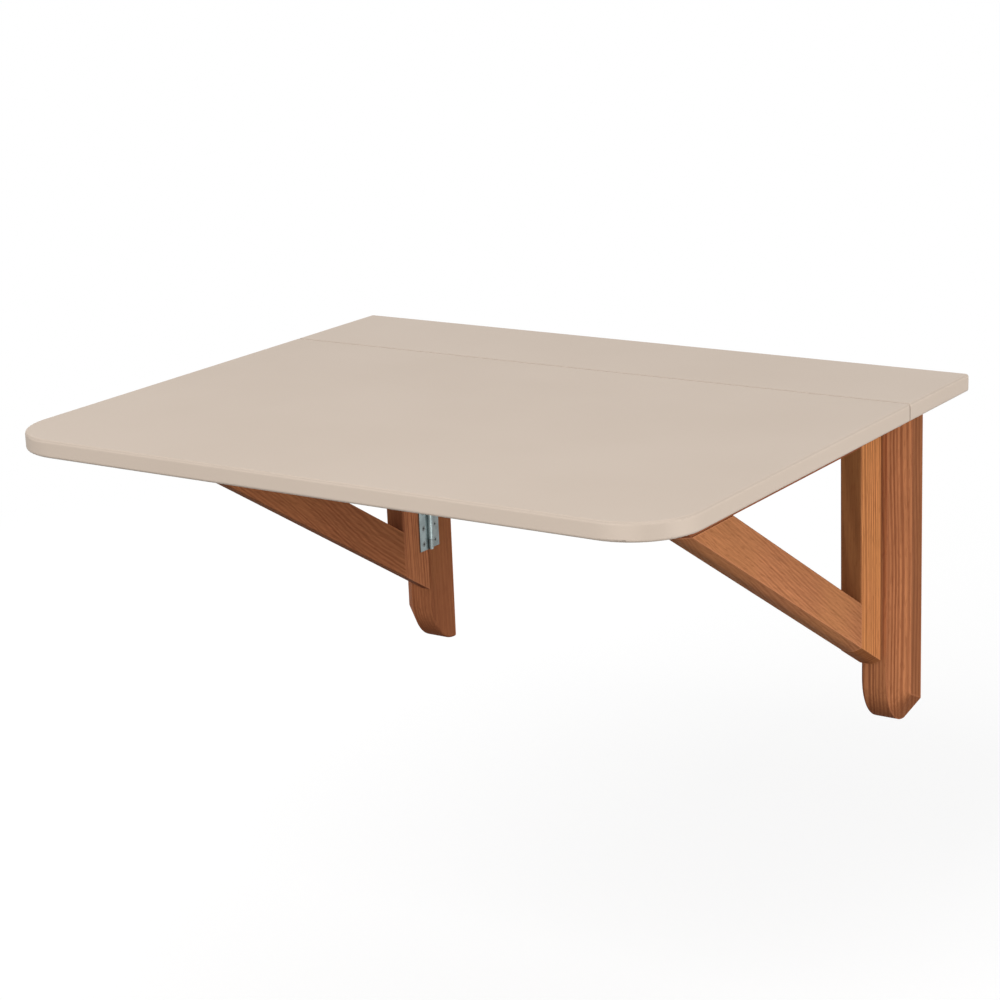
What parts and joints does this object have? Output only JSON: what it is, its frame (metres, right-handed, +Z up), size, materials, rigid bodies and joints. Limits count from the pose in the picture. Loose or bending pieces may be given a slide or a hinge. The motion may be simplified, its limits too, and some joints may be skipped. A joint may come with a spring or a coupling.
{
  "type": "wall mounted drop leaf table",
  "caption": "Wall mounted table: a narrow fixed shelf, a round-cornered drop leaf hinged along the seam, and triangular timber gates that swing out from wall posts to carry the leaf.",
  "frame": {"origin": "centre of the four wall screw holes, on the wall's face", "axes": "+X right along the wall seen from the room, +Y into the wall, +Z up"},
  "size_m": [0.75, 0.618, 0.3825],
  "materials": {
    "top_board": "satin, pale greige coating",
    "batten": "satin, red-brown stain over straight grain",
    "dowel": "bare beech",
    "hinge_leaf": "zinc plated",
    "hinge_pin": "zinc plated",
    "screw": "zinc plated"
  },
  "bodies": {
    "leaf": {"drop_leaf": "top_board", "flap_hinge_left_leaf": "hinge_leaf", "flap_hinge_right_leaf": "hinge_leaf", "flap_hinge_screws": "screw"},
    "wall_frame": {"flap_hinge_left_pin": "hinge_pin", "flap_hinge_right_pin": "hinge_pin", "gate_hinge_left_lower_pin": "hinge_pin", "gate_hinge_left_upper_pin": "hinge_pin", "gate_hinge_right_lower_pin": "hinge_pin", "gate_hinge_right_upper_pin": "hinge_pin", "post_dowels": "dowel", "post_hinge_left_lower_leaf": "hinge_leaf", "post_hinge_left_upper_leaf": "hinge_leaf", "post_hinge_right_lower_leaf": "hinge_leaf", "post_hinge_right_upper_leaf": "hinge_leaf", "post_left": "batten", "post_left_hinge_screws": "screw", "post_right": "batten", "post_right_hinge_screws": "screw", "shelf_hinge_left_leaf": "hinge_leaf", "shelf_hinge_right_leaf": "hinge_leaf", "shelf_hinge_screws": "screw", "wall_shelf": "top_board"},
    "gate_left": {"gate_hinge_left_lower_leaf": "hinge_leaf", "gate_hinge_left_upper_leaf": "hinge_leaf", "gate_left_arm": "batten", "gate_left_brace": "batten", "gate_left_dowels": "dowel", "gate_left_hinge_screws": "screw", "gate_left_upright": "batten"},
    "gate_right": {"gate_hinge_right_lower_leaf": "hinge_leaf", "gate_hinge_right_upper_leaf": "hinge_leaf", "gate_right_arm": "batten", "gate_right_brace": "batten", "gate_right_dowels": "dowel", "gate_right_hinge_screws": "screw", "gate_right_upright": "batten"}
  },
  "joints": [
    {"name": "gate_right_swing", "type": "hinge", "parent": "wall_frame", "child": "gate_right", "pos_m": [0.273, -0.046, 0], "axis": [0, 0, -1], "range_deg": [0, 95]},
    {"name": "gate_left_swing", "type": "hinge", "parent": "wall_frame", "child": "gate_left", "pos_m": [-0.273, -0.046, 0], "axis": [0, 0, 1], "range_deg": [0, 87]},
    {"name": "leaf_lift", "type": "hinge", "parent": "wall_frame", "child": "leaf", "pos_m": [0, -0.142, 0.1915], "axis": [-1, 0, 0], "range_deg": [0, 4]}
  ]
}
